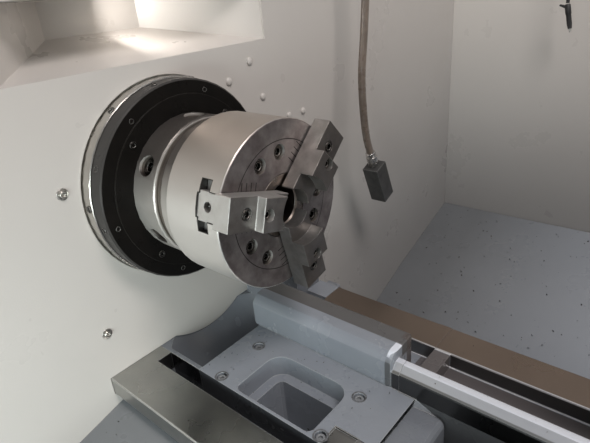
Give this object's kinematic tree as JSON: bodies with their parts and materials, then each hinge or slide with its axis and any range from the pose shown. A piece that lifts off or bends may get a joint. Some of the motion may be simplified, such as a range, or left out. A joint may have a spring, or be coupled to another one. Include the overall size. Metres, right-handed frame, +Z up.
{
  "type": "cnc turning lathe",
  "caption": "Flat-bed turning lathe in a sheet-metal enclosure: jaw chuck, gap bridge, turret, tailstock, sliding door and swinging control panel.",
  "frame": {"origin": "on the floor, under the middle of the machine's plan", "axes": "+X along the spindle towards the tailstock, +Y away from the operator, +Z up"},
  "size_m": [2.5, 1.6, 1.75],
  "materials": {
    "air_hose": "matt",
    "air_nozzle": "satin, with a bright metal fitting",
    "back_panel": "satin baked paint on sheet steel",
    "base_ring": "ground",
    "bed": "glossy cream enamel with ground ways",
    "cabinet": "satin baked paint on sheet steel",
    "cabinet_door": "satin baked paint on sheet steel",
    "chuck_back_plate": "hardened and ground",
    "chuck_body": "hardened and ground",
    "chuck_bush": "hardened and ground",
    "chuck_cylinder": "turned, darkened",
    "clamp_lever": "turned, darkened",
    "control_panel": "satin grey",
    "coolant_hose": "cloudy translucent hose",
    "coolant_tank": "satin grey",
    "cross_slide": "satin enamel on a casting",
    "door": "satin baked paint on sheet steel",
    "door_handle": "satin black",
    "door_window": "clear",
    "draw_tube": "ground",
    "drive_belt": "matt",
    "emergency_button": "glossy red",
    "front_bearing": "ground",
    "front_cap": "glossy black",
    "front_panel": "satin baked paint on sheet steel",
    "front_tray": "satin baked paint on sheet steel",
    "gap_bridge": "glossy cream enamel with ground ways",
    "hand_dial": "satin black",
    "headstock": "satin enamel on a casting",
    "headstock_cover": "satin baked paint on sheet steel",
    "hose_block": "satin, with a bright metal fitting",
    "live_centre": "ground",
    "main_motor": "satin grey",
    "master_jaw_1": "hardened and ground",
    "master_jaw_2": "hardened and ground",
    "master_jaw_3": "hardened and ground",
    "motor_pulley": "turned, darkened",
    "partition": "satin baked paint on sheet steel",
    "pedestal_left": "satin enamel on a casting",
    "pedestal_right": "satin enamel on a casting",
    "quill": "ground",
    "rear_bearing": "ground",
    "rear_tray": "satin baked paint on sheet steel",
    "recess_box": "satin baked paint on sheet steel",
    "right_panel": "satin baked paint on sheet steel",
    "saddle": "satin enamel on a casting",
    "screen": "dark glass over a display",
    "spindle": "ground",
    "spindle_pulley": "turned, darkened",
    "tailstock": "satin enamel on a casting",
    "tailstock_handwheel": "turned, darkened",
    "top_jaw_1": "hardened and ground",
    "top_jaw_2": "hardened and ground",
    "top_jaw_3": "hardened and ground",
    "turret_base": "satin enamel on a casting",
    "turret_disc": "ground",
    "x_motor": "satin black",
    "x_screw": "ground",
    "z_motor": "satin black",
    "z_screw": "ground"
  },
  "bodies": {
    "machine": {"air_hose": "air_hose", "air_nozzle": "air_nozzle", "back_panel": "back_panel", "base_ring": "base_ring", "bed": "bed", "cabinet": "cabinet", "coolant_hose": "coolant_hose", "coolant_tank": "coolant_tank", "drive_belt": "drive_belt", "front_bearing": "front_bearing", "front_cap": "front_cap", "front_panel": "front_panel", "front_tray": "front_tray", "gap_bridge": "gap_bridge", "headstock": "headstock", "headstock_cover": "headstock_cover", "hose_block": "hose_block", "main_motor": "main_motor", "partition": "partition", "pedestal_left": "pedestal_left", "pedestal_right": "pedestal_right", "rear_bearing": "rear_bearing", "rear_tray": "rear_tray", "recess_box": "recess_box", "right_panel": "right_panel", "z_motor": "z_motor"},
    "spindle": {"spindle": "spindle", "spindle_pulley": "spindle_pulley", "chuck_back_plate": "chuck_back_plate", "chuck_body": "chuck_body", "chuck_bush": "chuck_bush", "chuck_cylinder": "chuck_cylinder"},
    "draw_tube": {"draw_tube": "draw_tube"},
    "jaw_1": {"master_jaw_1": "master_jaw_1", "top_jaw_1": "top_jaw_1"},
    "jaw_2": {"master_jaw_2": "master_jaw_2", "top_jaw_2": "top_jaw_2"},
    "jaw_3": {"master_jaw_3": "master_jaw_3", "top_jaw_3": "top_jaw_3"},
    "motor_pulley": {"motor_pulley": "motor_pulley"},
    "carriage": {"saddle": "saddle", "x_motor": "x_motor"},
    "cross_slide": {"cross_slide": "cross_slide", "turret_base": "turret_base"},
    "turret": {"turret_disc": "turret_disc"},
    "x_screw": {"x_screw": "x_screw"},
    "z_screw": {"z_screw": "z_screw"},
    "tailstock": {"tailstock": "tailstock"},
    "quill": {"quill": "quill"},
    "live_centre": {"live_centre": "live_centre"},
    "handwheel": {"tailstock_handwheel": "tailstock_handwheel"},
    "clamp_lever": {"clamp_lever": "clamp_lever"},
    "door": {"door": "door", "door_window": "door_window", "door_handle": "door_handle"},
    "pendant": {"control_panel": "control_panel", "screen": "screen"},
    "emergency_button": {"emergency_button": "emergency_button"},
    "hand_dial": {"hand_dial": "hand_dial"},
    "cabinet_door": {"cabinet_door": "cabinet_door"}
  },
  "joints": [
    {"name": "spindle_turn", "type": "hinge", "parent": "machine", "child": "spindle", "pos_m": [-0.4, -0.18, 1.1], "axis": [1, 0, 0], "continuous": true},
    {"name": "jaw_1_slide", "type": "slide", "parent": "spindle", "child": "jaw_1", "axis": [0, -0.9537, 0.3007], "range_m": [-0.0019, 0.0018]},
    {"name": "jaw_2_slide", "type": "slide", "parent": "spindle", "child": "jaw_2", "axis": [0, 0.7373, 0.6756], "range_m": [-0.0019, 0.0018]},
    {"name": "jaw_3_slide", "type": "slide", "parent": "spindle", "child": "jaw_3", "axis": [0, 0.2164, -0.9763], "range_m": [-0.0019, 0.0018]},
    {"name": "draw_tube_slide", "type": "slide", "parent": "spindle", "child": "draw_tube", "axis": [1, 0, 0], "range_m": [-0.008, 0.008]},
    {"name": "motor_turn", "type": "hinge", "parent": "machine", "child": "motor_pulley", "pos_m": [-0.87, -0.18, 0.32], "axis": [1, 0, 0], "continuous": true},
    {"name": "carriage_slide", "type": "slide", "parent": "machine", "child": "carriage", "axis": [1, 0, 0], "range_m": [-0.365, 0.05]},
    {"name": "cross_slide_slide", "type": "slide", "parent": "carriage", "child": "cross_slide", "axis": [0, 1, 0], "range_m": [-0.05, 0.1]},
    {"name": "turret_turn", "type": "hinge", "parent": "cross_slide", "child": "turret", "pos_m": [0.25, -0.02, 1.1], "axis": [1, 0, 0], "continuous": true},
    {"name": "x_screw_turn", "type": "hinge", "parent": "carriage", "child": "x_screw", "pos_m": [0.46, 0, 0.915], "axis": [0, 1, 0], "range_deg": [-1810, 3610]},
    {"name": "z_screw_turn", "type": "hinge", "parent": "machine", "child": "z_screw", "pos_m": [0, 0.035, 0.785], "axis": [1, 0, 0], "range_deg": [-13150, 1810]},
    {"name": "tailstock_slide", "type": "slide", "parent": "machine", "child": "tailstock", "axis": [1, 0, 0], "range_m": [-0.12, 0]},
    {"name": "handwheel_turn", "type": "hinge", "parent": "tailstock", "child": "handwheel", "pos_m": [1.062, -0.18, 1.1], "axis": [1, 0, 0], "range_deg": [-7190, 0]},
    {"name": "quill_slide", "type": "slide", "parent": "tailstock", "child": "quill", "axis": [1, 0, 0], "range_m": [-0.1, 0]},
    {"name": "live_centre_turn", "type": "hinge", "parent": "quill", "child": "live_centre", "pos_m": [0.72, -0.18, 1.1], "axis": [1, 0, 0], "continuous": true},
    {"name": "clamp_lever_turn", "type": "hinge", "parent": "tailstock", "child": "clamp_lever", "pos_m": [0.85, -0.05, 0.97], "axis": [0, 0, 1], "range_deg": [0, 60]},
    {"name": "door_slide", "type": "slide", "parent": "machine", "child": "door", "axis": [1, 0, 0], "range_m": [0, 0.8]},
    {"name": "pendant_swing", "type": "hinge", "parent": "machine", "child": "pendant", "pos_m": [1.056, -0.745, 1.24], "axis": [0, 0, 1], "range_deg": [0, 70]},
    {"name": "emergency_press", "type": "slide", "parent": "pendant", "child": "emergency_button", "axis": [0, 1, 0], "range_m": [0, 0.006], "stiffness_N_per_m": 900},
    {"name": "hand_dial_turn", "type": "hinge", "parent": "pendant", "child": "hand_dial", "pos_m": [0.95, -0.78, 1.12], "axis": [0, 1, 0], "continuous": true},
    {"name": "cabinet_door_swing", "type": "hinge", "parent": "machine", "child": "cabinet_door", "pos_m": [-1.249, 0.7443, 0.9], "axis": [0, 0, 1], "range_deg": [0, 90]}
  ],
  "couplings": [
    {"joint": "jaw_2_slide", "follows": "jaw_1_slide", "ratio": 1},
    {"joint": "jaw_3_slide", "follows": "jaw_1_slide", "ratio": 1},
    {"joint": "draw_tube_slide", "follows": "jaw_1_slide", "ratio": 4.2},
    {"joint": "motor_turn", "follows": "spindle_turn", "ratio": 1.375},
    {"joint": "x_screw_turn", "follows": "cross_slide_slide", "rad_per_m": 628.32},
    {"joint": "z_screw_turn", "follows": "carriage_slide", "rad_per_m": 628.32},
    {"joint": "quill_slide", "follows": "handwheel_turn", "m_per_rad": 0.00079577}
  ]
}
